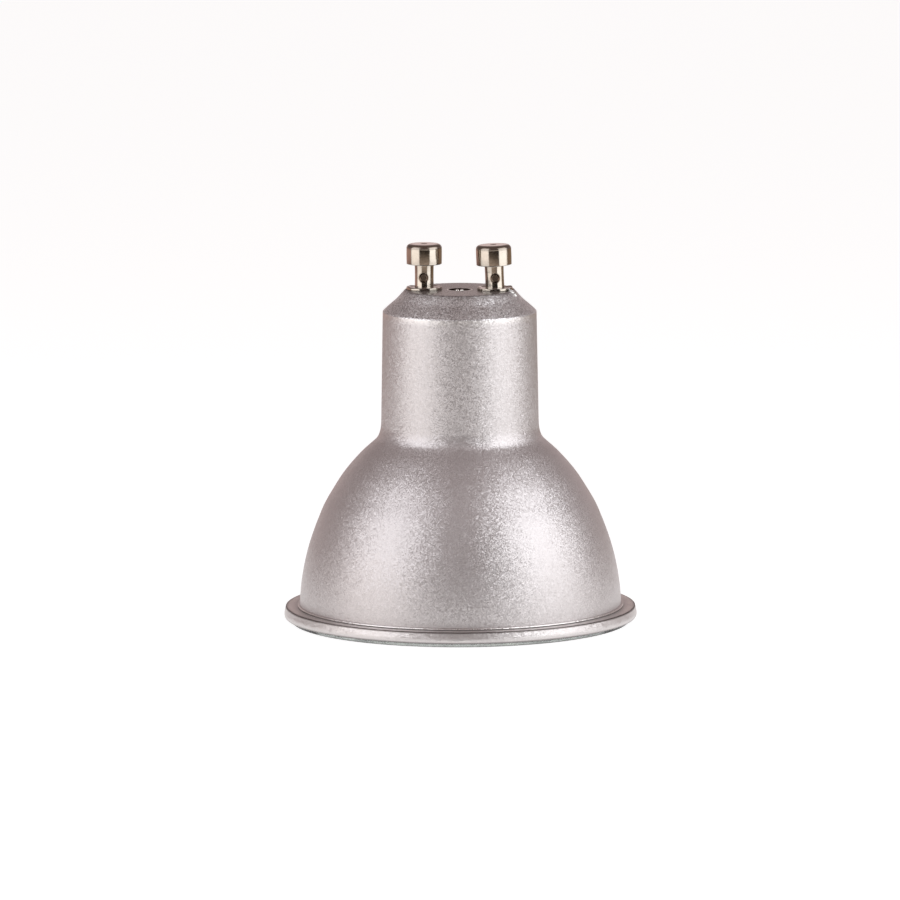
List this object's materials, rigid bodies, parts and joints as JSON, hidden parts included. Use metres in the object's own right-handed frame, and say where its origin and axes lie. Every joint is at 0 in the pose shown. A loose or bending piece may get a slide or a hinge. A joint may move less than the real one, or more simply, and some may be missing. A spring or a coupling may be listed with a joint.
{
  "type": "spotlight bulb",
  "caption": "Mains reflector spotlight lamp with a twist-lock pin cap, a silver painted cast shell, a clear lens and its LED driver inside.",
  "frame": {"origin": "middle of the front rim's plane, on the lamp's axis", "axes": "+Z along the lamp's axis, from the front rim to the contact pins; the pins stand in line along X"},
  "size_m": [0.05, 0.05, 0.0537],
  "materials": {
    "housing_paint": "silver paint with a fine sparkle",
    "cap_plastic": "smooth grey moulding",
    "pin_metal": "nickel plated",
    "screw_steel": "zinc plated",
    "sleeve_plastic": "white moulding",
    "board_laminate": "green resist",
    "can_sleeve": "shrink sleeve",
    "ferrite": "ground",
    "copper_wire": "enamelled copper",
    "resistor_body": "coated",
    "chip_body": "moulded",
    "lead_white": "insulated wire",
    "lead_red": "insulated wire",
    "lead_black": "insulated wire",
    "plate_metal": "pressed sheet",
    "pad_silicone": "soft pad",
    "led_board_face": "white resist",
    "led_body": "moulded",
    "lens_clear": "clear moulding"
  },
  "bodies": {
    "root": {"housing": "housing_paint", "base_cap": "cap_plastic", "contact_pin_left": "pin_metal", "contact_pin_right": "pin_metal", "base_screw": "screw_steel", "driver_sleeve": "sleeve_plastic", "driver_board": "board_laminate", "input_capacitor": "can_sleeve", "output_capacitor": "can_sleeve", "inductor_core": "ferrite", "inductor_winding": "copper_wire", "fuse_resistor": "resistor_body", "bridge_rectifier": "chip_body", "driver_chip": "chip_body", "chip_resistors": "chip_body", "mains_lead_left": "lead_white", "mains_lead_right": "lead_white", "led_lead_positive": "lead_red", "led_lead_negative": "lead_black", "heat_plate": "plate_metal", "thermal_pad": "pad_silicone", "led_board": "led_board_face", "led_chips": "led_body", "board_screws": "screw_steel", "lens": "lens_clear"}
  },
  "joints": []
}
